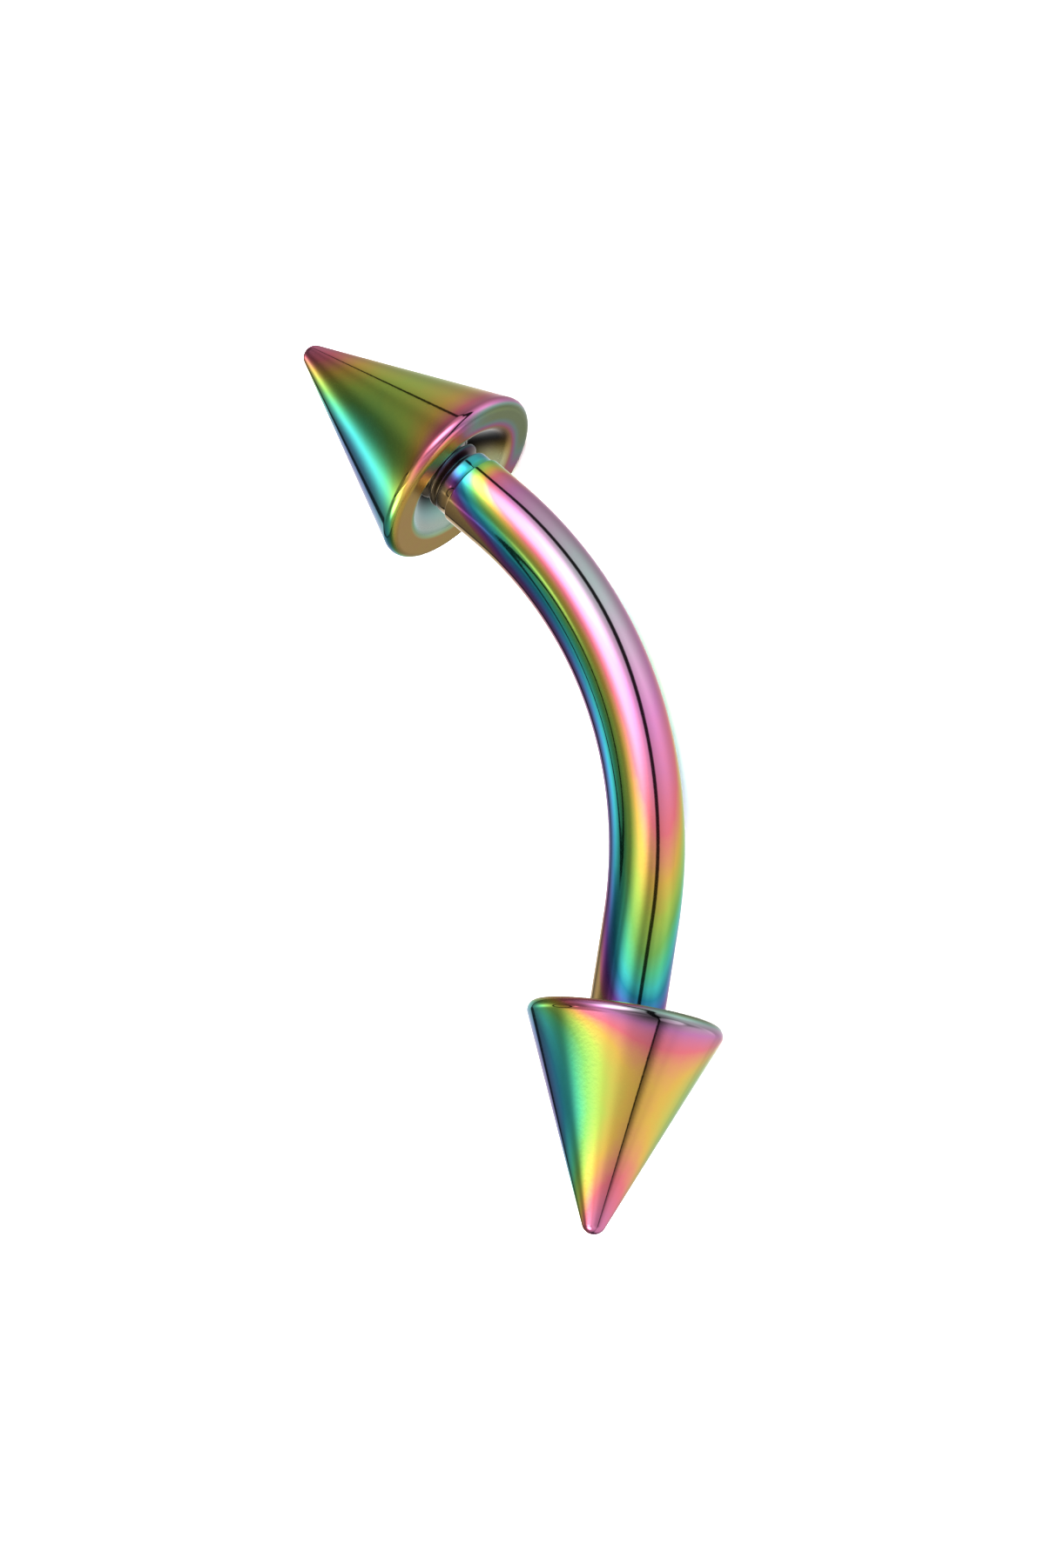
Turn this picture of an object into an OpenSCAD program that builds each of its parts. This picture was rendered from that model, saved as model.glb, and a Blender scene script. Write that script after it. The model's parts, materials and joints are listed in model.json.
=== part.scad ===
// Curved eyebrow barbell: a bent bar with a cone spike screwed on each end.
// It lies as it comes to rest by itself, on both spike rims and the belly of the bend.
// Lengths are in millimetres. The floor is z = 0, and +X runs from the lower to the upper spike.

/* [Bar] */
// Diameter of the bar
bar_d = 1.2; // [1.2:0.05:1.6]
// Radius of the bend, to the middle of the bar
bend_radius = 7.3; // [6.6:0.1:9]
// Angle that the bend turns through, in degrees
bend_angle = 57.6; // [54:0.4:64]
// Straight length between the bend and the upper shoulder
upper_straight = 0.65; // [0.5:0.05:1.5]
// Straight length between the bend and the lower shoulder
lower_straight = 1.45; // [0.5:0.05:2]
// Chamfer around each shoulder
shoulder_chamfer = 0.03; // [0.01:0.01:0.04]

/* [Threaded ends] */
// Outer diameter of the thread and of the plain neck before it
thread_d = 1.12; // [1.0:0.02:1.14]
// Distance from one thread crest to the next
thread_pitch = 0.25; // [0.2:0.05:0.3]
// Number of turns of thread
thread_turns = 5; // [3:1:6]
// Plain neck between the shoulder and the thread
neck_length = 0.2; // [0.1:0.05:0.4]

/* [Spikes] */
// Diameter of a spike's base
spike_base_d = 3.1; // [2.9:0.1:3.6]
// Length of a spike, from its base to its tip
spike_length = 3.5; // [3.4:0.1:5]
// Rounding of the rim between the base and the cone
rim_round = 0.15; // [0.08:0.01:0.25]
// Rounding of the tip
tip_round = 0.2; // [0.1:0.02:0.35]
// Mouth diameter of the countersink in the base
recess_d = 2.1; // [1.6:0.1:2.3]
// Depth of the countersink
recess_depth = 0.45; // [0.3:0.05:0.6]

/* [Fit of a spike on its thread] */
// Gap all round between the thread and the wall of its hole
thread_gap = 0.02; // [0.01:0.01:0.06]
// Gap between the end of the thread and the bottom of its hole
end_gap = 0.05; // [0.02:0.01:0.1]
// How far the upper shoulder stands out of its spike's base
upper_seat_gap = 0.2; // [0:0.05:0.5]
// How far the lower shoulder stands out of its spike's base
lower_seat_gap = 0.05; // [0:0.05:0.5]

/* [Hidden] */

$fn = 96;
UPPER = 1;
LOWER = -1;

bar_r = bar_d / 2;
base_r = spike_base_d / 2;
half_bend = bend_angle / 2;

// A 60 degree thread, with crests an eighth and roots a quarter of the pitch wide
thread_r = thread_d / 2;
crest_width = thread_pitch / 8;
root_width = thread_pitch / 4;
flank_width = (thread_pitch - crest_width - root_width) / 2;
thread_depth = flank_width / tan(30);
root_r = thread_r - thread_depth;
thread_length = thread_turns * thread_pitch;
pin_length = neck_length + thread_length + thread_depth;

// Both spikes have the same hole. It takes the pin that goes in further, and ends in a
// drill's point.
hole_r = thread_r + thread_gap;
hole_depth = pin_length - min(upper_seat_gap, lower_seat_gap) + end_gap;
drill_half_angle = 59;

// Half-angle of the cone that touches the rounding of the rim and that of the tip
round_gap = [base_r - rim_round, spike_length - tip_round - rim_round];
cone_half_angle = atan2(round_gap.x, round_gap.y) - asin((tip_round - rim_round) / norm(round_gap));

// Directions and places in the plane of the bend. Its centre is the origin, y points from
// there to the belly of the bend, and end is UPPER or LOWER.
function outward(end) = [end * cos(half_bend), -sin(half_bend), 0];
function bend_end(end) = bend_radius * [end * sin(half_bend), cos(half_bend), 0];
function straight(end) = end == UPPER ? upper_straight : lower_straight;
function seat_gap(end) = end == UPPER ? upper_seat_gap : lower_seat_gap;
function base_centre(end) = bend_end(end) + (straight(end) + seat_gap(end)) * outward(end);

// The point of each rounded form that lies furthest along the unit vector way
function unit(v) = v / norm(v);
function square_to(v, axis) = unit(v - (v * axis) * axis);
function rim_point(end, way) = base_centre(end) + rim_round * (outward(end) + way)
    + (base_r - rim_round) * square_to(way, outward(end));
function tip_point(end, way) = base_centre(end) + (spike_length - tip_round) * outward(end)
    + tip_round * way;
function belly_point(way) = bend_radius * unit([way.x, way.y, 0]) + bar_r * way;

// Down is square to the plane through the three lowest points, and is found step by step
function plane_normal(a, b, c) = unit(cross(b - a, c - a));
function settle(way, steps) = steps == 0 ? way
    : settle(plane_normal(rim_point(UPPER, way), belly_point(way), rim_point(LOWER, way)),
        steps - 1);
down = settle([0, sin(half_bend), cos(half_bend)], 12);
across = square_to([1, 0, 0], down);
back = cross(-down, across);

// How far both spikes reach along a direction, and the middle of the part over the floor
function spikes_reach(way) = max([for (end = [UPPER, LOWER])
    max(rim_point(end, way) * way, tip_point(end, way) * way)]);
middle_x = (spikes_reach(across) - spikes_reach(-across)) / 2;
middle_y = (spikes_reach(back) - max(spikes_reach(-back), -belly_point(-back) * back)) / 2;
floor_depth = belly_point(down) * down;

// Lays what is drawn around the bend's centre on the floor
module laid_down() {
    translate([-middle_x, -middle_y, floor_depth])
        multmatrix([
            [across.x, across.y, across.z, 0],
            [back.x, back.y, back.z, 0],
            [-down.x, -down.y, -down.z, 0],
            [0, 0, 0, 1],
        ])
            children();
}

// Moves what is drawn up along +Z to a point of an end, where it points outward
module along_end(end, from) {
    translate(from)
        rotate([0, 90, end == UPPER ? -half_bend : 180 + half_bend])
            children();
}

// Half outline of one end: straight shaft, chamfered shoulder, neck and thread
module end_outline(shaft_length) {
    thread_start = shaft_length + neck_length;
    thread_points = [for (turn = [0 : thread_turns - 1], point = [
        [thread_r, 0],
        [thread_r, crest_width],
        [root_r, crest_width + flank_width],
        [root_r, crest_width + flank_width + root_width],
    ]) point + [0, thread_start + turn * thread_pitch]];
    polygon(concat(
        [
            [0, 0],
            [bar_r, 0],
            [bar_r, shaft_length - shoulder_chamfer],
            [bar_r - shoulder_chamfer, shaft_length],
            [thread_r, shaft_length],
        ],
        thread_points,
        [
            [thread_r, thread_start + thread_length],
            [root_r, shaft_length + pin_length],
            [0, shaft_length + pin_length],
        ]
    ));
}

// Half outline of a spike, from its base at 0 up to its tip
module spike_outline() {
    rim_centre = [base_r - rim_round, rim_round];
    tip_centre = [0, spike_length - tip_round];
    side = [cos(cone_half_angle), sin(cone_half_angle)];
    intersection() {
        union() {
            polygon([
                [0, 0],
                [rim_centre.x, 0],
                rim_centre,
                rim_centre + rim_round * side,
                tip_centre + tip_round * side,
                tip_centre,
            ]);
            translate(rim_centre)
                circle(rim_round);
            translate(tip_centre)
                circle(tip_round);
        }
        square([base_r, spike_length]);
    }
}

// Half outline of the countersink and the drilled hole under it
module hole_outline() {
    polygon([
        [0, 0],
        [recess_d / 2, 0],
        [hole_r, recess_depth],
        [hole_r, hole_depth],
        [0, hole_depth + hole_r / tan(drill_half_angle)],
    ]);
}

module spike() {
    rotate_extrude()
        difference() {
            spike_outline();
            hole_outline();
        }
}

module bar() {
    color("orchid")
        laid_down() {
            rotate_extrude(angle = bend_angle, start = 90 - half_bend)
                translate([bend_radius, 0])
                    circle(bar_r);
            for (end = [UPPER, LOWER])
                along_end(end, bend_end(end))
                    rotate_extrude()
                        end_outline(straight(end));
        }
}

module upper_spike() {
    color("mediumseagreen")
        laid_down()
            along_end(UPPER, base_centre(UPPER))
                spike();
}

module lower_spike() {
    color("goldenrod")
        laid_down()
            along_end(LOWER, base_centre(LOWER))
                spike();
}

bar();
upper_spike();
lower_spike();
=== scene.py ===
# Curved eyebrow barbell in rainbow-coated steel, lying on a pale studio floor.
# Lengths are in millimetres until a mesh, a light or the camera is made, and then in metres.
from collections import namedtuple
import json
import math

import bpy
from mathutils import Matrix, Vector


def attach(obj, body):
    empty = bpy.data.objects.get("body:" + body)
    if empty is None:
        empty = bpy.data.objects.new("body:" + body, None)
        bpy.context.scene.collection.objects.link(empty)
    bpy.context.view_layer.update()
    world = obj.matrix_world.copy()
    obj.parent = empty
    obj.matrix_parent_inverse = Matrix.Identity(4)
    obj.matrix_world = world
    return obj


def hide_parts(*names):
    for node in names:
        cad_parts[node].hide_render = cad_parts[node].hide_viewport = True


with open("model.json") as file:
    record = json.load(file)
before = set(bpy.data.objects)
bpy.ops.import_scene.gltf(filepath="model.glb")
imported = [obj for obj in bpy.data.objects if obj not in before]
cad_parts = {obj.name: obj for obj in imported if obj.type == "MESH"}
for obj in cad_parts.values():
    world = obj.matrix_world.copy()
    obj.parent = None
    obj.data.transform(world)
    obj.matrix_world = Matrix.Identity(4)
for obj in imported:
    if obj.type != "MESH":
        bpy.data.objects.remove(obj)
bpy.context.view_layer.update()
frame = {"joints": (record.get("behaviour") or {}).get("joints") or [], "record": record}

MM = 0.001

# Bar
BEND_RADIUS = 7.3
UPPER_STRAIGHT = 0.65
LOWER_STRAIGHT = 1.45
SHOULDER_ROUND = 0.03

# Threaded ends
THREAD_R = 0.56
THREAD_PITCH = 0.25
THREAD_TURNS = 5
NECK_LENGTH = 0.2
CREST_SHARE = 1 / 8
ROOT_SHARE = 1 / 4
FLANK = (1 - CREST_SHARE - ROOT_SHARE) / 2 * THREAD_PITCH
THREAD_DEPTH = FLANK / math.tan(math.radians(30))
THREAD_LENGTH = THREAD_TURNS * THREAD_PITCH
PIN_LENGTH = NECK_LENGTH + THREAD_LENGTH + THREAD_DEPTH

# Spikes
SPIKE_BASE_R = 1.55
SPIKE_LENGTH = 3.5
RIM_ROUND = 0.15
TIP_ROUND = 0.2
RECESS_R = 1.05
RECESS_DEPTH = 0.45
RECESS_ROUND = 0.2
HOLE_R = 0.58
UPPER_SEAT_GAP = 0.2
LOWER_SEAT_GAP = 0.05
END_GAP = 0.05
HOLE_DEPTH = PIN_LENGTH - min(UPPER_SEAT_GAP, LOWER_SEAT_GAP) + END_GAP
DRILL_HALF_ANGLE = math.radians(59)

# Mesh fineness
BAR_SIDES = 144
SPIKE_SIDES = 192
BEND_STEPS = 120
STRAIGHT_ROWS = 6
CONE_ROWS = 24
BASE_ROWS = 4
RECESS_ROWS = 6
ROUND_STEPS = 20
SMALL_ROUND_STEPS = 8
ROWS_PER_TURN = 20
END_ROWS = 4
DRILL_SHARES = (0.3, 0.6, 0.9)

# Distance of the extra rows that keep shading flat, from a round, a corner and a neck's end
ROUND_MARGIN = 0.012
CORNER_MARGIN = 0.004
NECK_MARGIN = 0.01
# The tip's round starts this many degrees up from the side, just beside the axis
TIP_START = 88

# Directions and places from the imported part
record = frame["record"]
joint_axes = {joint["child"]: Vector(joint["axis"]).normalized() for joint in frame["joints"]}
piercing = next(mount for mount in record["mounts"] if mount["name"] == "piercing")
BAR_R = piercing["dims"]["r_mm"]
bend_x = (joint_axes["upper_spike"] - joint_axes["lower_spike"]).normalized()
bend_y = -(joint_axes["upper_spike"] + joint_axes["lower_spike"]).normalized()
bend_normal = bend_x.cross(bend_y)
half_bend = math.acos(joint_axes["upper_spike"].dot(bend_x))
bend_centre = Vector(piercing["pos_m"]) / MM - BEND_RADIUS * bend_y


def bend_point(angle):
    """Middle of the bar at an angle from the belly towards the upper spike."""
    return bend_centre + BEND_RADIUS * (math.sin(angle) * bend_x + math.cos(angle) * bend_y)


def bend_direction(angle):
    """Direction of the bar there, from the lower to the upper spike."""
    return math.cos(angle) * bend_x - math.sin(angle) * bend_y


def base_place(end):
    """Middle of a spike's base and the direction out to its tip, at the upper end (1) or the
    lower one (-1)."""
    reach = UPPER_STRAIGHT + UPPER_SEAT_GAP if end > 0 else LOWER_STRAIGHT + LOWER_SEAT_GAP
    outward = end * bend_direction(end * half_bend)
    return bend_point(end * half_bend) + reach * outward, outward


def smooth(x):
    x = min(max(x, 0), 1)
    return x * x * (3 - 2 * x)


# Outlines: lists of (radius, height) points


def arc(centre, radius, start, end, steps=ROUND_STEPS):
    """Points of an arc from one angle to another, in degrees."""
    angles = [math.radians(start + (end - start) * i / steps) for i in range(steps + 1)]
    return [(centre[0] + radius * math.cos(a), centre[1] + radius * math.sin(a)) for a in angles]


def stretch(start, end, steps=1):
    """Points of a straight stretch between two rounds, with a row close to each end so that
    the shading stays flat between them. The two ends themselves are left to the rounds."""
    start, end = Vector(start), Vector(end)
    along = (end - start).normalized() * ROUND_MARGIN
    inner = [start + along + (end - start - 2 * along) * i / steps for i in range(steps + 1)]
    return [tuple(point) for point in inner]


def thread_cut(turn):
    """Depth of the thread as a share, at a place counted in turns from the middle of a crest."""
    away = abs((turn + 0.5) % 1 - 0.5)
    share = (away - CREST_SHARE / 2) / ((1 - CREST_SHARE - ROOT_SHARE) / 2)
    share = min(max(share, 0), 1)
    return (share + smooth(share)) / 2


def pin_radius(height, turn):
    """Radius of a threaded end at a height above its shoulder."""
    along = height - NECK_LENGTH
    depth = THREAD_DEPTH * thread_cut(along / THREAD_PITCH - turn)
    depth *= smooth(along / (THREAD_PITCH / 2))
    chamfer = max(along - THREAD_LENGTH, 0)
    return THREAD_R - max(depth, chamfer)


def hole_radius(depth, turn, seat_gap):
    """Radius of a spike's hole at a depth below its base: a groove cut outward from the bore."""
    along = depth + seat_gap - NECK_LENGTH
    cut = 1 - thread_cut(along / THREAD_PITCH - turn)
    start = smooth((depth - RECESS_DEPTH) / THREAD_PITCH)
    end = smooth((HOLE_DEPTH - depth) / (THREAD_PITCH / 2))
    return HOLE_R + THREAD_DEPTH * cut * min(start, end)


# Meshes: rings of points joined by faces


def ring(centre, across, up, radius, sides):
    """One ring of points. The radius is a number, or a function of the turn from 0 to 1."""
    points = []
    for i in range(sides):
        turn = i / sides
        r = radius(turn) if callable(radius) else radius
        angle = 2 * math.pi * turn
        points.append(centre + r * (math.cos(angle) * across + math.sin(angle) * up))
    return points


def skin(name, rings, first, last):
    """A closed mesh through the rings, closed by a point at each end."""
    sides = len(rings[0])
    points = [first] + [point for one in rings for point in one] + [last]
    end = len(points) - 1
    faces = []
    for i in range(sides):
        j = (i + 1) % sides
        faces.append((0, 1 + j, 1 + i))
        for row in range(len(rings) - 1):
            a, b = 1 + row * sides, 1 + (row + 1) * sides
            faces.append((a + i, a + j, b + j, b + i))
        top = 1 + (len(rings) - 1) * sides
        faces.append((top + i, top + j, end))
    mesh = bpy.data.meshes.new(name)
    mesh.from_pydata([point * MM for point in points], [], faces)
    mesh.validate()
    mesh.shade_smooth()
    piece = bpy.data.objects.new(name, mesh)
    bpy.context.scene.collection.objects.link(piece)
    return piece


def pin_rows():
    """Heights above the shoulder at which a threaded end has a ring."""
    count = THREAD_TURNS * ROWS_PER_TURN
    rows = [NECK_MARGIN, NECK_LENGTH / 2, NECK_LENGTH - NECK_MARGIN]
    rows += [NECK_LENGTH + THREAD_LENGTH * i / count for i in range(count)]
    end = NECK_LENGTH + THREAD_LENGTH
    rows += [end + THREAD_DEPTH * i / END_ROWS for i in range(END_ROWS + 1)]
    return rows


def make_bar():
    ends = {1: UPPER_STRAIGHT, -1: LOWER_STRAIGHT}

    def end_rings(end):
        """Rings from the bend's end out to the tip of the thread."""
        angle = end * half_bend
        start = bend_point(angle)
        along = bend_direction(angle)
        up = bend_normal
        across = up.cross(along)
        outward = end * along
        length = ends[end]

        def at(height, radius):
            return ring(start + height * outward, across, up, radius, BAR_SIDES)

        rings = [at(length * i / STRAIGHT_ROWS, BAR_R) for i in range(1, STRAIGHT_ROWS)]
        rings.append(at(length - SHOULDER_ROUND - ROUND_MARGIN, BAR_R))
        round_centre = (BAR_R - SHOULDER_ROUND, length - SHOULDER_ROUND)
        shoulder = arc(round_centre, SHOULDER_ROUND, 0, 90, SMALL_ROUND_STEPS)
        rings += [at(height, radius) for radius, height in shoulder]
        rings.append(at(length, THREAD_R + CORNER_MARGIN))
        for row in pin_rows():
            # The turn is counted the same way round on both ends, so both are right-hand threads
            rings.append(at(length + row, lambda turn, row=row: pin_radius(row, end * turn)))
        return rings, start + (length + PIN_LENGTH) * outward

    upper, upper_tip = end_rings(1)
    lower, lower_tip = end_rings(-1)
    middle = []
    for i in range(BEND_STEPS + 1):
        angle = half_bend * (2 * i / BEND_STEPS - 1)
        up = bend_normal
        across = up.cross(bend_direction(angle))
        middle.append(ring(bend_point(angle), across, up, BAR_R, BAR_SIDES))
    return skin("bar_polished", lower[::-1] + middle + upper, lower_tip, upper_tip)


def spike_outline():
    """Half outline from the tip over the cone, the base and the countersink to the top of the
    hole.
    """
    rim = (SPIKE_BASE_R - RIM_ROUND, RIM_ROUND)
    tip = (0, SPIKE_LENGTH - TIP_ROUND)
    reach = math.hypot(rim[0], tip[1] - rim[1])
    slope = math.atan2(rim[0], tip[1] - rim[1]) - math.asin((TIP_ROUND - RIM_ROUND) / reach)
    side = math.degrees(slope)
    tip_arc = arc(tip, TIP_ROUND, TIP_START, side)
    rim_arc = arc(rim, RIM_ROUND, side, -90)
    lip_turn = 90 - math.degrees(math.atan2(RECESS_R - HOLE_R, RECESS_DEPTH))
    # The lip is a round that touches the flat base and the countersink
    lip_reach = RECESS_ROUND * math.tan(math.radians(lip_turn / 2))
    lip = (RECESS_R + lip_reach, RECESS_ROUND)
    lip_arc = arc(lip, RECESS_ROUND, 270, 270 - lip_turn, SMALL_ROUND_STEPS)
    rows = tip_arc
    rows += stretch(tip_arc[-1], rim_arc[0], CONE_ROWS)
    rows += rim_arc
    rows += stretch(rim_arc[-1], lip_arc[0], BASE_ROWS)
    rows += lip_arc
    rows += stretch(lip_arc[-1], (HOLE_R, RECESS_DEPTH), RECESS_ROWS)
    return rows


def make_spike(body, end):
    base, outward = base_place(end)
    seat_gap = UPPER_SEAT_GAP if end > 0 else LOWER_SEAT_GAP
    up = bend_normal
    across = up.cross(end * outward)

    def at(height, radius):
        return ring(base + height * outward, across, up, radius, SPIKE_SIDES)

    rings = [at(height, radius) for radius, height in spike_outline()]
    count = round((HOLE_DEPTH - RECESS_DEPTH) / THREAD_PITCH * ROWS_PER_TURN)
    for i in range(count + 1):
        depth = RECESS_DEPTH + (HOLE_DEPTH - RECESS_DEPTH) * i / count
        groove = lambda turn, depth=depth: hole_radius(depth, end * turn, seat_gap)
        rings.append(at(depth, groove))
    point_depth = HOLE_R / math.tan(DRILL_HALF_ANGLE)
    for share in DRILL_SHARES:
        rings.append(at(HOLE_DEPTH + point_depth * share, HOLE_R * (1 - share)))
    tip = base + SPIKE_LENGTH * outward
    hole_end = base + (HOLE_DEPTH + point_depth) * outward
    if end > 0:
        return skin(body + "_polished", rings[::-1], hole_end, tip)
    return skin(body + "_polished", rings, tip, hole_end)


# Shader nodes


class Term:
    """A number worked out by shader nodes, so that a formula can be written plainly."""

    def __init__(self, tree, socket):
        self.tree = tree
        self.socket = socket

    def math(self, operation, *values):
        made = self.tree.nodes.new("ShaderNodeMath")
        made.operation = operation
        for slot, value in zip(made.inputs, values):
            if isinstance(value, Term):
                self.tree.links.new(value.socket, slot)
            else:
                slot.default_value = value
        return Term(self.tree, made.outputs[0])

    def __add__(self, other):
        return self.math("ADD", self, other)

    def __radd__(self, other):
        return self.math("ADD", other, self)

    def __sub__(self, other):
        return self.math("SUBTRACT", self, other)

    def __rsub__(self, other):
        return self.math("SUBTRACT", other, self)

    def __mul__(self, other):
        return self.math("MULTIPLY", self, other)

    def __rmul__(self, other):
        return self.math("MULTIPLY", other, self)

    def __truediv__(self, other):
        return self.math("DIVIDE", self, other)

    def __pow__(self, other):
        return self.math("POWER", self, other)

    def __abs__(self):
        return self.math("ABSOLUTE", self)

    def at_least(self, lowest):
        return self.math("MAXIMUM", self, lowest)

    def at_most(self, highest):
        return self.math("MINIMUM", self, highest)

    def exp(self):
        return self.math("EXPONENT", self)

    def rise(self, low, high):
        """Goes smoothly from 0 to 1 as this goes from low to high, or down if high is less."""
        if high < low:
            return 1 - self.rise(high, low)
        made = self.tree.nodes.new("ShaderNodeMapRange")
        made.interpolation_type = "SMOOTHSTEP"
        made.inputs["From Min"].default_value = low
        made.inputs["From Max"].default_value = high
        self.tree.links.new(self.socket, made.inputs["Value"])
        return Term(self.tree, made.outputs["Result"])

    def towards(self, goal, share):
        """This number, moved by a share of the way to another."""
        return self + (goal - self) * share


def along(tree, vector, direction, start=0.0):
    """How far a vector socket reaches along a direction, from a start."""
    made = tree.nodes.new("ShaderNodeVectorMath")
    made.operation = "DOT_PRODUCT"
    tree.links.new(vector, made.inputs[0])
    made.inputs[1].default_value = direction
    reach = Term(tree, made.outputs["Value"])
    return reach - start if start else reach


def reach_from(tree, place, start, direction):
    """How many millimetres a place lies from a start along a direction."""
    return along(tree, place, direction / MM, start.dot(direction))


def noise(tree, place, size):
    """Noise from 0 to 1 with features of a size in millimetres."""
    made = tree.nodes.new("ShaderNodeTexNoise")
    made.inputs["Scale"].default_value = 1 / (size * MM)
    tree.links.new(place, made.inputs["Vector"])
    return Term(tree, made.outputs["Fac"])


# Rainbow coat. Its colour follows its thickness, counted in steps: each colour is the steel's
# reflection through the coat at that step. Most of the colours are the result of a fit to the
# photograph's colours, rounded.
COAT_COLOURS = (
    (0.0, (0.62, 0.40, 0.15)),
    (0.8, (0.58, 0.17, 0.22)),
    (1.6, (0.40, 0.10, 0.34)),
    (2.4, (0.19, 0.07, 0.38)),
    (3.2, (0.08, 0.24, 0.58)),
    (3.8, (0.03, 0.31, 0.47)),
    (4.4, (0.07, 0.64, 0.58)),
    (4.9, (0.12, 0.71, 0.34)),
    (5.3, (0.25, 0.62, 0.14)),
    (5.7, (0.50, 0.69, 0.11)),
    (6.1, (0.83, 0.52, 0.10)),
    (6.5, (0.86, 0.20, 0.24)),
    (7.1, (0.60, 0.22, 0.47)),
    (8.1, (0.30, 0.48, 0.42)),
    (9.0, (0.33, 0.42, 0.17)),
)
THICKEST = COAT_COLOURS[-1][0]
BARE_STEEL = (0.60, 0.58, 0.50)

# The coat is a little uneven, in patches of these sizes and up to this many steps
PATCHES = ((0.9, 0.2), (0.15, 0.1))

# Polish leaves fine marks, and turned faces keep a softer finish
POLISHED_ROUGHNESS = 0.03
POLISH_MARKS = 0.03
MARK_SIZE = 0.06
MARK_DEPTH = 0.0002
TURNED_ROUGHNESS = 0.25

# The surface at a place: the coat's steps, and how far it is turned, bare and darkened by
# painted shade, from 0 to 1
Surface = namedtuple("Surface", "steps turned bare dark")


def coat_material(name, surface_at):
    """Steel under the coat. surface_at is a function of the tree, the place and the way that
    the surface faces, both in the part's frame."""
    material = bpy.data.materials.new(name)
    material.use_nodes = True
    tree = material.node_tree
    shader = tree.nodes["Principled BSDF"]
    shader.inputs["Metallic"].default_value = 1.0
    coordinates = tree.nodes.new("ShaderNodeTexCoord").outputs
    place = coordinates["Object"]
    surface = surface_at(tree, place, coordinates["Normal"])
    steps = surface.steps
    for size, most in PATCHES:
        steps += most * (noise(tree, place, size) - 0.5)
    ramp = tree.nodes.new("ShaderNodeValToRGB")
    tree.links.new((steps / THICKEST).socket, ramp.inputs["Fac"])
    stops = ramp.color_ramp.elements
    for i, (step, colour) in enumerate(COAT_COLOURS):
        stop = stops[i] if i < 2 else stops.new(1.0)
        stop.position = step / THICKEST
        stop.color = (*colour, 1.0)
    bared = tree.nodes.new("ShaderNodeMix")
    bared.data_type = "RGBA"
    factor, coated, bare = bared.inputs[0], bared.inputs[6], bared.inputs[7]
    tree.links.new(surface.bare.socket, factor)
    tree.links.new(ramp.outputs["Color"], coated)
    bare.default_value = (*BARE_STEEL, 1.0)
    # The base colour is darkened by the painted shade
    dimmed = tree.nodes.new("ShaderNodeVectorMath")
    dimmed.operation = "SCALE"
    tree.links.new(bared.outputs[2], dimmed.inputs[0])
    tree.links.new((1 - surface.dark).socket, dimmed.inputs["Scale"])
    tree.links.new(dimmed.outputs["Vector"], shader.inputs["Base Color"])
    marks = noise(tree, place, MARK_SIZE)
    roughness = POLISHED_ROUGHNESS + POLISH_MARKS * marks + TURNED_ROUGHNESS * surface.turned
    tree.links.new(roughness.socket, shader.inputs["Roughness"])
    bump = tree.nodes.new("ShaderNodeBump")
    bump.inputs["Distance"].default_value = MARK_DEPTH * MM
    tree.links.new(marks.socket, bump.inputs["Height"])
    tree.links.new(bump.outputs["Normal"], shader.inputs["Normal"])
    return material


# The coat is thickest where the surface faced its source, which lies this way from the bar, and
# at a length along the bar, counted from the belly. Nearly all of the numbers come from a fit
# to the photograph's colours, rounded.
BAR_SOURCE = (0.25 * bend_x + 0.70 * bend_y - 0.61 * bend_normal).normalized()
BAR_STEPS = 7.45
BAR_LOSS = 3.8
BAR_POWER = 1.35
BAR_MIDDLE = 1.85
BAR_LENGTH_LOSS = 0.04
# A ridge of more steps on the side that faced the source
RIDGE_STEPS = 0.45
RIDGE_MIDDLE = 1.7
RIDGE_LENGTH = 1.1
RIDGE_TURNED = 0.15
# Near an end it loses steps: this many at a length along the bar, and more beyond it within its
# reach, up to this many times as many
EndLoss = namedtuple("EndLoss", "length steps reach most")
END_LOSSES = (EndLoss(-5.05, 2.0, -0.38, 1.1), EndLoss(4.3, 2.3, 0.32, 1.3))
# Where it faced away it loses more from this length on, towards both ends
FAR_LENGTH = 2.9
FAR_LOSS = 1.85
# and it loses more towards the upper end than towards the lower one
SKEW_LOSS = 0.1
# The thread starts over these distances past a shoulder, and is partly bare and darkened by
# painted shade
THREAD_START = (0.1, 0.25)
THREAD_BARE = 0.3
THREAD_PAINTED_SHADE = 0.85
UPPER_SHOULDER = BEND_RADIUS * half_bend + UPPER_STRAIGHT
LOWER_SHOULDER = BEND_RADIUS * half_bend + LOWER_STRAIGHT


def bar_surface(tree, place, facing):
    along_x = reach_from(tree, place, bend_centre, bend_x)
    along_y = reach_from(tree, place, bend_centre, bend_y)
    length = BEND_RADIUS * along_x.math("ARCTAN2", along_x, along_y)
    turned = (1 - along(tree, facing, BAR_SOURCE)).at_least(0)
    off_middle = length - BAR_MIDDLE
    steps = BAR_STEPS - BAR_LOSS * turned ** BAR_POWER - BAR_LENGTH_LOSS * off_middle * off_middle
    off_ridge = (length - RIDGE_MIDDLE) / RIDGE_LENGTH
    steps += RIDGE_STEPS * (turned / -RIDGE_TURNED - off_ridge * off_ridge).exp()
    for end in END_LOSSES:
        steps -= end.steps * ((length - end.length) / end.reach).exp().at_most(end.most)
    steps -= FAR_LOSS * (abs(length) - FAR_LENGTH).at_least(0) * turned * turned
    steps -= SKEW_LOSS * length * turned
    past_upper = length - UPPER_SHOULDER
    past_lower = -1 * length - LOWER_SHOULDER
    thread = past_upper.rise(*THREAD_START) + past_lower.rise(*THREAD_START)
    # The thread is partly bare, and darkened by painted shade
    return Surface(steps, thread, THREAD_BARE * thread, THREAD_PAINTED_SHADE * thread)
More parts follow.
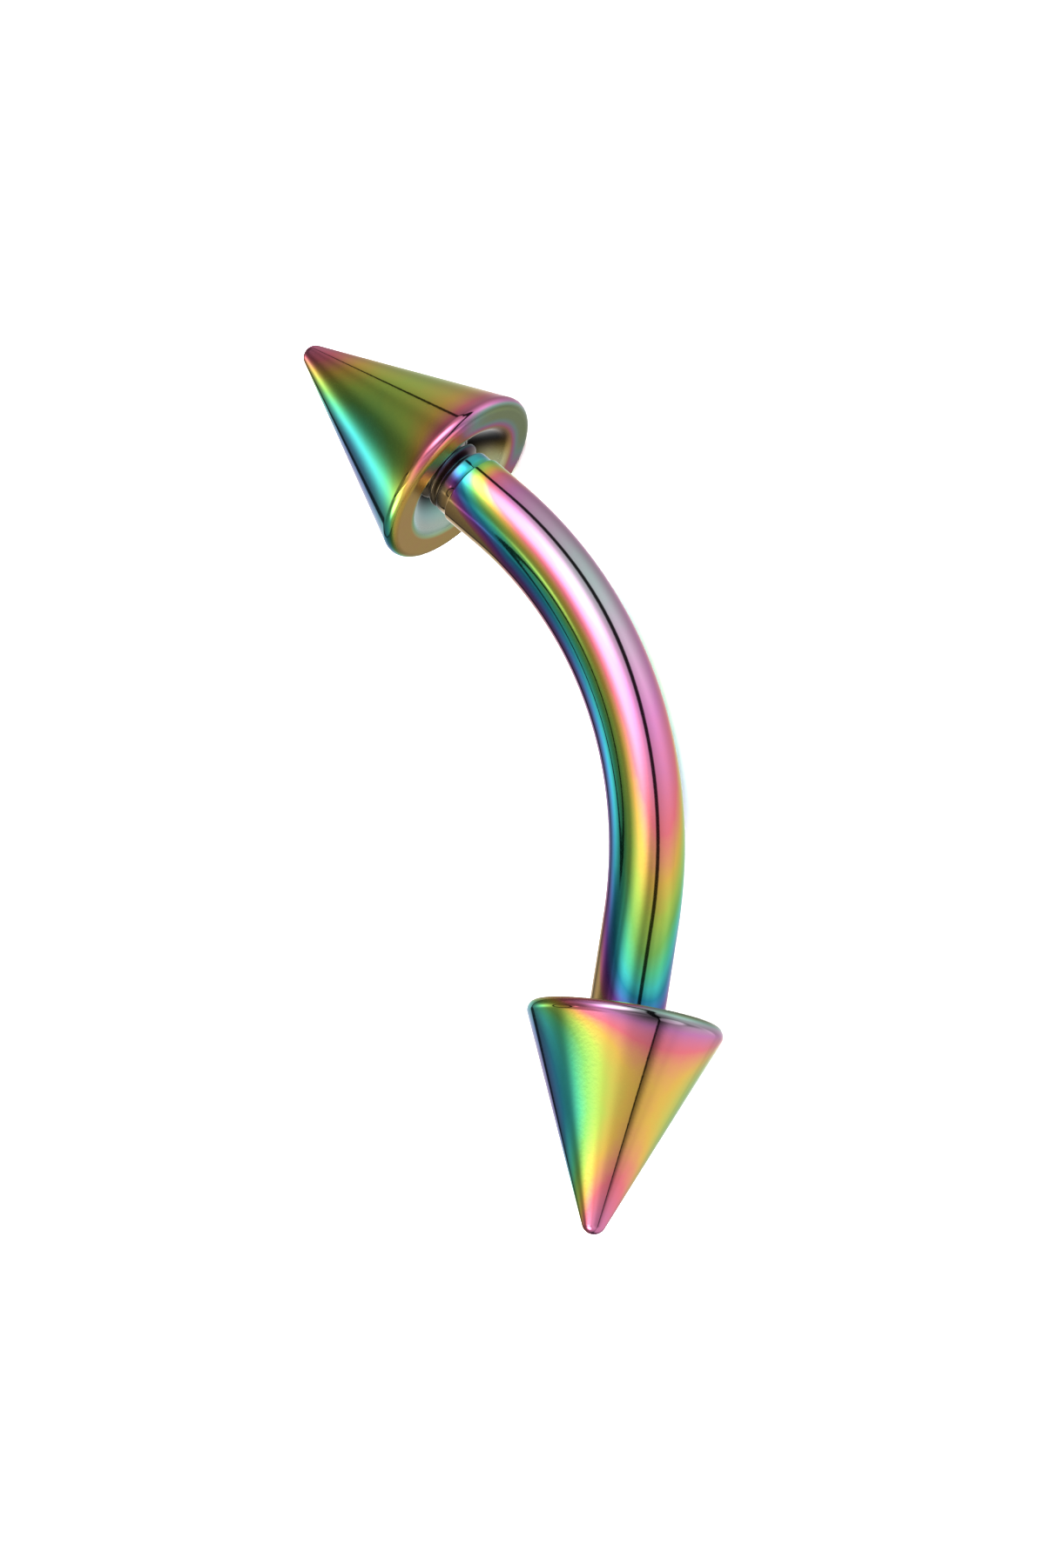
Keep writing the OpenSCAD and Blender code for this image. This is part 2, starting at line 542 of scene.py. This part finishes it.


# A spike's coat in steps: thickest at a turn round its axis, thinner by a loss away from there,
# with a thickness of its own at the tip and more of it at the rim. Many of the numbers started
# as a fit to the photograph's colours.
# The last column is the strength of a painted dark reflection on the rim.
SpikeCoat = namedtuple(
    "SpikeCoat", "turn side loss power tip tip_start tip_full rim rim_reach rim_dark")
SPIKE_COATS = {
    "upper_spike": SpikeCoat(-36, 5.7, 1.65, 1.55, 7.05, 1.5, 4.1, 1.75, 0.42, 0.25),
    "lower_spike": SpikeCoat(-39, 6.1, 2.5, 1.25, 7.1, 1.55, 4.15, 2.55, 0.33, 0.8),
}
# Turn, height and half width of the painted dark reflection on the rim, which is broader round the
# axis
PATCH_TURN = math.radians(-54)
PATCH_HEIGHT = 0.18
PATCH_HALF_WIDTH = 0.1
PATCH_BREADTH = 0.3
# On the base it is thickest towards the belly, and it gets thinner into the countersink
BASE_STEPS = 9.0
BASE_LOSS = 2.9
BASE_LOSS_TURN = (0.1, 0.75)
# The base is darkened by this share of painted shade, as it faces the bar
BASE_PAINTED_SHADE = 0.5
BASE_FACING = (0.3, 1)
# Towards the belly, the base has this many steps next to the countersink
EDGE_STEPS = 6.3
EDGE_TURN = (0, 0.6)
EDGE_RADII = (1.3, 1.06)
# Where the base turns into the countersink
LIP_HALF_WIDTH = 0.08
LIP_POWER = 0.75
RECESS_STEPS = 5.1
RECESS_CHANGE = 1.1
# The countersink is darkened all over by painted shade, which is lifted as painted light towards
# its pale side and its mouth
PAINTED_LIGHT_SHARE = 0.95
PAINTED_LIGHT_TURN = (-0.3, 0.4)
PAINTED_LIGHT_RADII = (HOLE_R, 0.86)
# The countersink is bare by this much deep inside, and by this much all over round the turn at
# which it is palest, apart from a loss deep inside
# The bare steel round the pale side paints a pale reflection there; deep inside it is the steel's
# own bareness
RECESS_BARE = 0.6
PALE_BARE = 0.8
PALE_LOSS = 0.3
PALE_POWER = 0.3
PALE_SPREAD = (-0.2, 0.6)
PALE_TURN = math.radians(120)
DEEP_RADII = (1.0, 0.77)


def spike_surface(body, end):
    coat = SPIKE_COATS[body]
    base, outward = base_place(end)
    radial = (bend_y - bend_y.dot(outward) * outward).normalized()

    def way(turn):
        """Direction square to the axis, at a turn from the belly."""
        return math.cos(turn) * radial + math.sin(turn) * bend_normal

    source = way(math.radians(coat.turn))
    beside = outward.cross(source)

    def surface_at(tree, place, facing):
        height = reach_from(tree, place, base, outward)
        towards = reach_from(tree, place, base, source)
        aside = reach_from(tree, place, base, beside)
        radius = ((towards * towards + aside * aside) ** 0.5).at_least(0.01)
        turned = (1 - towards / radius).at_least(0)
        side = coat.side - coat.loss * turned ** coat.power
        tip = height.rise(coat.tip_start, coat.tip_full)
        rim = coat.rim * (height.at_least(0) / -coat.rim_reach).exp()
        cone = side.towards(coat.tip, tip) + rim
        to_belly = reach_from(tree, place, base, radial) / radius
        to_pale = reach_from(tree, place, base, way(PALE_TURN)) / radius
        flat = BASE_STEPS - BASE_LOSS * (1 - to_belly).rise(*BASE_LOSS_TURN)
        flat = flat.towards(EDGE_STEPS, to_belly.rise(*EDGE_TURN) * radius.rise(*EDGE_RADII))
        recess = RECESS_STEPS + RECESS_CHANGE * to_belly
        under = (-1 * along(tree, facing, outward)).rise(*BASE_FACING)
        inward = radius + height * (SPIKE_BASE_R / SPIKE_LENGTH)
        inside = inward.rise(RECESS_R + LIP_HALF_WIDTH, RECESS_R - LIP_HALF_WIDTH)
        steps = cone.towards(flat, under).towards(recess, inside ** LIP_POWER)
        # A painted dark reflection on the rim, as a patch round one turn and height
        to_patch = reach_from(tree, place, base, way(PATCH_TURN)) / radius
        beside_patch = (1 - to_patch) / (0.5 * PATCH_BREADTH ** 2)
        over_patch = (height - PATCH_HEIGHT) / PATCH_HALF_WIDTH
        shade = coat.rim_dark * (-1 * beside_patch - over_patch * over_patch).exp()
        # Painted light in the countersink: its painted shade is lifted towards its pale side and
        # its mouth
        painted_light = PAINTED_LIGHT_SHARE * to_pale.rise(*PAINTED_LIGHT_TURN) * radius.rise(*PAINTED_LIGHT_RADII)
        # Painted shade: the rim's dark reflection, shade on the base that faces the bar, and shade
        # down in the countersink
        dark = shade.towards(BASE_PAINTED_SHADE, under).towards(1 - painted_light, inside)
        deep = radius.rise(*DEEP_RADII)
        # Bare steel on the pale side paints a pale reflection
        pale_bare = PALE_BARE * inside ** PALE_POWER - PALE_LOSS * deep
        bare = (RECESS_BARE * deep * inside).towards(pale_bare, to_pale.rise(*PALE_SPREAD))
        return Surface(steps, under.at_least(inside), bare.at_least(0), dark)

    return surface_at


# Camera, at the photograph's viewing angle. Its numbers come from a fit to the outline there.
CAMERA_AZIMUTH = math.radians(-22.423)
CAMERA_ELEVATION = math.radians(37.168)
CAMERA_ROLL = math.radians(-94.301)
CAMERA_DISTANCE = 243.16
CAMERA_AIM = Vector((-0.4283, 0.4675, 1.7846))
PICTURE_HEIGHT = 1800
PIXELS_PER_MM = 73.304
SENSOR = 36.0


def camera_axes():
    """The camera's right, up and backward directions."""
    level = math.cos(CAMERA_ELEVATION)
    backward = Vector((
        math.sin(CAMERA_AZIMUTH) * level,
        -math.cos(CAMERA_AZIMUTH) * level,
        math.sin(CAMERA_ELEVATION),
    ))
    flat_right = Vector((math.cos(CAMERA_AZIMUTH), math.sin(CAMERA_AZIMUTH), 0))
    flat_up = backward.cross(flat_right)
    right = math.cos(CAMERA_ROLL) * flat_right + math.sin(CAMERA_ROLL) * flat_up
    return right, backward.cross(right), backward


def make_camera():
    right, up, backward = camera_axes()
    data = bpy.data.cameras.new("camera")
    data.sensor_width = SENSOR
    data.lens = PIXELS_PER_MM * CAMERA_DISTANCE * SENSOR / PICTURE_HEIGHT
    data.clip_start = 10 * MM
    data.clip_end = 2000 * MM
    camera = bpy.data.objects.new("camera", data)
    turn = Matrix((right, up, backward)).transposed().to_4x4()
    camera.matrix_world = Matrix.Translation((CAMERA_AIM + CAMERA_DISTANCE * backward) * MM) @ turn
    bpy.context.scene.collection.objects.link(camera)
    bpy.context.scene.camera = camera


FLOOR_HALF = 600.0
FLOOR_GREY = 0.95
FLOOR_ROUGHNESS = 0.9
FLOOR_SHINE = 0.1


def make_floor():
    mesh = bpy.data.meshes.new("floor")
    signs = ((-1, -1), (1, -1), (1, 1), (-1, 1))
    corners = [Vector((x, y, 0)) * (FLOOR_HALF * MM) for x, y in signs]
    mesh.from_pydata(corners, [], [(0, 1, 2, 3)])
    floor = bpy.data.objects.new("floor", mesh)
    bpy.context.scene.collection.objects.link(floor)
    material = bpy.data.materials.new("floor_paper")
    material.use_nodes = True
    shader = material.node_tree.nodes["Principled BSDF"]
    shader.inputs["Base Color"].default_value = (FLOOR_GREY, FLOOR_GREY, FLOOR_GREY, 1)
    shader.inputs["Roughness"].default_value = FLOOR_ROUGHNESS
    shader.inputs["Specular IOR Level"].default_value = FLOOR_SHINE
    mesh.materials.append(material)
    # The metal mirrors the studio's own table in its place
    floor.visible_glossy = False


# The studio that the metal mirrors. Azimuths go from the front towards the upper spike, and
# heights are over the horizon, all in degrees. A light fades over its width and height, and
# its edge is the crisper the larger the last number is. Nearly all of these lights are the
# result of a fit to the photograph's colours, rounded.
SoftLight = namedtuple("SoftLight", "azimuth height half_width half_height brightness edge")
WALL_BRIGHTNESS = 0.13
WALL_LIGHTS = (
    SoftLight(30, 32, 20.5, 20, 3.9, 1.2),
    SoftLight(36, 3, 49, 23.5, 0.7, 3),
    SoftLight(-90, 32, 49, 62, 0.7, 1.1),
    SoftLight(-124, 67, 19, 3.5, 2.7, 1.4),
    SoftLight(152, 30, 9.5, 14, 1.6, 0.75),
    SoftLight(-4, 66, 66, 13, 0.4, 1.5),
    SoftLight(83, 37, 16, 20, 0.2, 1.7),
    SoftLight(-25, 23, 8.5, 39, 0.6, 0.6),
    SoftLight(-126, 46, 16, 16, 4.5, 1.5),
    SoftLight(118, 79, 3.5, 3, 1.0, 1),
)
TABLE_BRIGHTNESS = 0.02
TABLE_LIGHTS = (
    SoftLight(23, -35, 41, 49, 1.45, 0.65),
    SoftLight(162, -34, 26.5, 43, 1.1, 0.7),
    SoftLight(-95, -26, 34, 43, 0.8, 3),
    SoftLight(-94, -68, 52, 6, 0.5, 0.6),
    SoftLight(102, -12, 25, 17, 0.2, 1.35),
    SoftLight(-43, -13, 18, 19, 1.5, 3),
)
DOME_BRIGHTNESS = 4.5

# The dark gap between table and wall. It slants, dips round one azimuth and is wider at the
# front and at the back. Some of these numbers and the seam's come from the same fit.
GAP_BRIGHTNESS = 0.03
GAP_HEIGHT = 1.2
GAP_SLANT = -2.2
DIP_AZIMUTH = 29
DIP_REACH = 18
DIP_DEPTH = 11.5
GAP_HALF_WIDTH = 1.3
GAP_EDGES = (0.6, 1.4)
WALL_EDGE = (-0.5, 0.5)
FRONT_AZIMUTH = 10
FRONT_SPREAD = (50, 34)
FRONT_WIDENING = 4.4
BACK_AZIMUTH = 169
BACK_SPREAD = (18, 4)
BACK_WIDENING = 3.5

# The dark edge of a round light over the back
SEAM_WAY = Vector((0.258, 0.413, 0.873)).normalized()
SEAM_ANGLE = 13.6
SEAM_EDGES = (2.4, 1)
SEAM_DARK = 0.92
SEAM_AZIMUTH = 150
SEAM_SPREAD = (45, 32)


def azimuth_from(tree, direction, azimuth):
    """Signed angle round the part between a direction and an azimuth, in degrees."""
    angle = math.radians(azimuth)
    ahead = along(tree, direction, (math.sin(angle), -math.cos(angle), 0))
    aside = along(tree, direction, (math.cos(angle), math.sin(angle), 0))
    return ahead.math("ARCTAN2", aside, ahead) * math.degrees(1)


def soft_light(tree, direction, light):
    """Brightness that one soft light adds in a direction."""
    azimuth = math.radians(light.azimuth)
    height = math.radians(light.height)
    right = Vector((math.cos(azimuth), math.sin(azimuth), 0))
    front = Vector((math.sin(azimuth), -math.cos(azimuth), 0))
    ahead = math.cos(height) * front + math.sin(height) * Vector((0, 0, 1))
    reach = along(tree, direction, right)
    aside = reach.math("ARCTAN2", reach, along(tree, direction, ahead))
    over = along(tree, direction, right.cross(ahead))
    over = over.math("ARCSINE", over)
    across = aside * (math.degrees(1) / light.half_width)
    upward = over * (math.degrees(1) / light.half_height)
    away = (across * across + upward * upward) ** light.edge
    return light.brightness * (-1 * away).exp()


def lit(tree, direction, brightness, lights):
    """Brightness of a wall or table with its lights."""
    for light in lights:
        brightness = brightness + soft_light(tree, direction, light)
    return brightness


def studio_brightness(tree, direction):
    up = along(tree, direction, (0, 0, 1))
    height = up.math("ARCSINE", up) * math.degrees(1)
    slant = GAP_SLANT * along(tree, direction, (1, 0, 0))
    from_dip = azimuth_from(tree, direction, DIP_AZIMUTH) / DIP_REACH
    dip = DIP_DEPTH * (-1 * (from_dip * from_dip)).exp()
    from_gap = height - GAP_HEIGHT - slant + dip
    front = abs(azimuth_from(tree, direction, FRONT_AZIMUTH)).rise(*FRONT_SPREAD)
    back = abs(azimuth_from(tree, direction, BACK_AZIMUTH)).rise(*BACK_SPREAD)
    half_width = GAP_HALF_WIDTH + FRONT_WIDENING * front + BACK_WIDENING * back
    wall = lit(tree, direction, WALL_BRIGHTNESS, WALL_LIGHTS)
    table = lit(tree, direction, TABLE_BRIGHTNESS, TABLE_LIGHTS)
    brightness = table.towards(wall, from_gap.rise(*WALL_EDGE)).at_least(GAP_BRIGHTNESS)
    clear = (abs(from_gap) / half_width).rise(*GAP_EDGES)
    brightness = GAP_BRIGHTNESS + (brightness - GAP_BRIGHTNESS) * clear
    facing = along(tree, direction, SEAM_WAY)
    from_seam = abs(facing.math("ARCCOSINE", facing) * math.degrees(1) - SEAM_ANGLE)
    behind = abs(azimuth_from(tree, direction, SEAM_AZIMUTH)).rise(*SEAM_SPREAD)
    return brightness * (1 - SEAM_DARK * from_seam.rise(*SEAM_EDGES) * behind)


def make_light():
    """White dome for the table, and the studio for the metal's reflections."""
    world = bpy.data.worlds.new("studio")
    bpy.context.scene.world = world
    world.use_nodes = True
    tree = world.node_tree
    tree.nodes.clear()
    direction = tree.nodes.new("ShaderNodeTexCoord").outputs["Generated"]
    mirrored = tree.nodes.new("ShaderNodeBackground")
    tree.links.new(studio_brightness(tree, direction).socket, mirrored.inputs["Strength"])
    mirrored.inputs["Color"].default_value = (1, 1, 1, 1)
    dome = tree.nodes.new("ShaderNodeBackground")
    dome.inputs["Color"].default_value = (1, 1, 1, 1)
    dome.inputs["Strength"].default_value = DOME_BRIGHTNESS
    mix = tree.nodes.new("ShaderNodeMixShader")
    is_glossy = tree.nodes.new("ShaderNodeLightPath").outputs["Is Glossy Ray"]
    tree.links.new(is_glossy, mix.inputs["Fac"])
    tree.links.new(dome.outputs[0], mix.inputs[1])
    tree.links.new(mirrored.outputs[0], mix.inputs[2])
    output = tree.nodes.new("ShaderNodeOutputWorld")
    tree.links.new(mix.outputs[0], output.inputs["Surface"])


bpy.context.scene.view_settings.view_transform = "Standard"
make_camera()
make_floor()
make_light()

bar = make_bar()
bar.data.materials.append(coat_material("rainbow_bar_coat", bar_surface))
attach(bar, "bar")
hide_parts("bar")

for body, end in (("upper_spike", 1), ("lower_spike", -1)):
    spike = make_spike(body, end)
    coat = coat_material(f"rainbow_{body}_coat", spike_surface(body, end))
    spike.data.materials.append(coat)
    spike.visible_glossy = False
    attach(spike, body)
    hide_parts(body)
